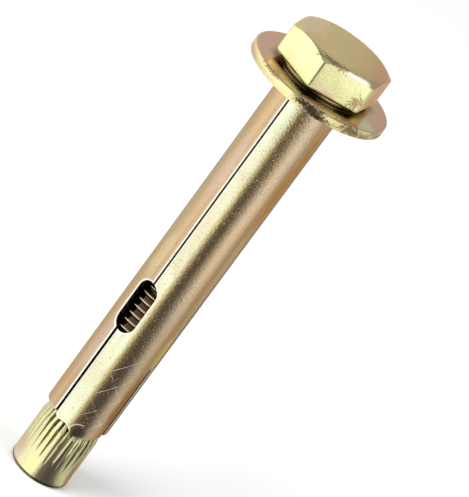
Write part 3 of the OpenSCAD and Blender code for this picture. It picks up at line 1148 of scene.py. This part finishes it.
# %% Floor
bpy.ops.mesh.primitive_plane_add(size=6, location=(0, 0, -0.02 * MM))
floor = bpy.context.object
floor.name = "floor"
floor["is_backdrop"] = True
floor_material = bpy.data.materials.new("pale floor")
floor_material.use_nodes = True
floor_shader = floor_material.node_tree.nodes["Principled BSDF"]
floor_shader.inputs["Base Color"].default_value = (0.9, 0.9, 0.9, 1)
floor_shader.inputs["Roughness"].default_value = 0.9
floor.data.materials.append(floor_material)

# %% Camera
camera_aim = Vector((4.71 * MM, 0, 53.58 * MM))
camera_distance = 663.2 * MM
camera_down_deg = 21.4
camera_roll_deg = 36.44
long_side_px, focal_px = 497, 4000

down, roll = math.radians(camera_down_deg), math.radians(camera_roll_deg)
forward = Vector((0, math.cos(down), -math.sin(down)))
level_up = Vector((0, math.sin(down), math.cos(down)))
right = math.cos(roll) * Vector((1, 0, 0)) + math.sin(roll) * level_up
up = right.cross(forward)
lens = bpy.data.cameras.new("camera")
lens.lens = lens.sensor_width * focal_px / long_side_px
camera = bpy.data.objects.new("camera", lens)
bpy.context.collection.objects.link(camera)
camera.matrix_world = Matrix.Translation(camera_aim - forward * camera_distance) @ Matrix(
    (right, up, -forward)
).transposed().to_4x4()
bpy.context.scene.camera = camera
print("lens", round(lens.lens, 1), "mm")

# %% [markdown]
# ## Light
# Metal has no look of its own: it shows what stands round it. The camera looks down, so the
# upright surfaces mirror the ground round the anchor. A photographer puts bright and dark
# cards there, out of the picture, and the sleeve shows them as bright and dark bands. Here
# one ring-shaped card lies on the floor. The camera and the floor don't see it, only the
# metal does, and its grey runs from dark to bright with the direction.

# %% Studio greys by direction
far_greys = [
    (-180, 0.52),
    (-110, 0.85),
    (-84, 1.0),
    (-52, 1.15),
    (-6, 1.15),
    (1, 0.72),
    (10, 0.20),
    (16, 0.13),
    (30, 0.13),
    (38, 0.30),
    (50, 0.72),
    (60, 0.98),
    (74, 0.95),
    (84, 0.73),
    (97, 0.47),
    (106, 0.50),
    (114, 0.63),
    (134, 0.60),
    (146, 0.30),
    (178, 0.50),
]
near_greys = [
    (-180, 0.50),
    (-110, 0.80),
    (-84, 0.92),
    (-52, 1.15),
    (-6, 1.15),
    (1, 0.70),
    (10, 0.22),
    (20, 0.12),
    (36, 0.10),
    (50, 0.16),
    (60, 0.40),
    (72, 0.62),
    (84, 0.66),
    (97, 0.50),
    (113, 0.40),
    (133, 0.62),
    (146, 0.20),
    (178, 0.30),
]
greys, greys_in, greys_out = new_group(
    "studio greys", [("Vector", "NodeSocketVector", (0, 0, 0))], [("Color", "NodeSocketColor")]
)
wires = Wires(greys)
axes = wires.parts(greys_in.outputs["Vector"])
turn = wires.math("ARCTAN2", axes["X"], wires.math("MULTIPLY", axes["Y"], -1.0))
distance = wires.math("POWER", axes["X"], 2.0)
distance = wires.math("SQRT", wires.math("ADD", distance, wires.math("POWER", axes["Y"], 2.0)))
past_washer = wires.span(distance, 0.2625, 0.2645)
turn = wires.math("MULTIPLY_ADD", past_washer, math.radians(20), turn)
share = wires.math("MULTIPLY_ADD", turn, 1 / math.tau, 0.5)
ramps = [
    ramp_round(wires, share, [(deg, (grey,) * 3) for deg, grey in stops], "LINEAR")
    for stops in (near_greys, far_greys)
]
both = wires.mix(wires.span(distance, 0.07, 0.14), *ramps)
both = wires.mix(past_washer, both, (1.14, 1.14, 1.14, 1), "MULTIPLY")
# Close to the foot the card turns nearly black: a painted shadow round the foot that the metal
# mirrors.
at_foot = wires.span(distance, 5.6 * MM, 6.9 * MM, 0.75, 0.0)
wires.feed(wires.mix(at_foot, both, (0.02, 0.02, 0.02, 1)), greys_out.inputs["Color"])

# %% Card round the anchor
bm = bmesh.new()
edge = draw_line(bm, [(5 * MM, 0, 0.01 * MM), (1.2, 0, 0.01 * MM)])
spin_round(bm, edge, 64)
card_mesh = bpy.data.meshes.new("card")
bm.to_mesh(card_mesh)
bm.free()
card = bpy.data.objects.new("card", card_mesh)
bpy.context.collection.objects.link(card)
card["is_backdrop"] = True
card.visible_camera = card.visible_diffuse = card.visible_shadow = False
card_material = bpy.data.materials.new("card greys")
card_material.use_nodes = True
card_tree = card_material.node_tree
card_tree.nodes.remove(card_tree.nodes["Principled BSDF"])
wires = Wires(card_tree)
place = wires.node("ShaderNodeTexCoord").outputs["Object"]
grey = wires.node("ShaderNodeGroup", {"node_tree": greys}, Vector=place)
glow = wires.node("ShaderNodeEmission", Color=grey.outputs["Color"], Strength=1.0)
wires.feed(glow.outputs[0], card_tree.nodes["Material Output"].inputs["Surface"])
card.data.materials.append(card_material)

# %% Lamps


def lamp(name, place, size, power):
    """A soft square lamp that looks at the anchor's middle."""
    light = bpy.data.lights.new(name, "AREA")
    light.size = size
    light.energy = power
    item = bpy.data.objects.new(name, light)
    bpy.context.collection.objects.link(item)
    item.location = place
    aim = Vector((0, 0, head_top / 2)) - Vector(place)
    item.rotation_euler = aim.to_track_quat("-Z", "Y").to_euler()
    item.visible_glossy = False
    return item


lamp("key", (-0.8, -0.7, 1.2), 0.9, 20)
lamp("fill", (1.2, -0.3, 1.0), 0.9, 9)

# %% World
world = bpy.data.worlds.new("studio")
world.use_nodes = True
wires = Wires(world.node_tree)
background = world.node_tree.nodes["Background"]
direction = wires.node("ShaderNodeTexCoord").outputs["Generated"]
grey = wires.node("ShaderNodeGroup", {"node_tree": greys}, Vector=direction)
overhead = wires.parts(direction)["Z"]
plain = (0.56, 0.56, 0.56, 1)
around = wires.mix(wires.span(overhead, 0.5, 0.8), grey.outputs["Color"], plain)
rays = wires.node("ShaderNodeLightPath").outputs
colour = wires.mix(rays["Is Glossy Ray"], plain, around)
colour = wires.mix(rays["Is Camera Ray"], colour, (1, 1, 1, 1))
wires.feed(colour, background.inputs["Color"])
bpy.context.scene.world = world
bpy.context.scene.view_settings.view_transform = "Standard"

# %% Overall size
low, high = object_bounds()
print("size", [round((b - a) / MM, 2) for a, b in zip(low, high)], "mm")
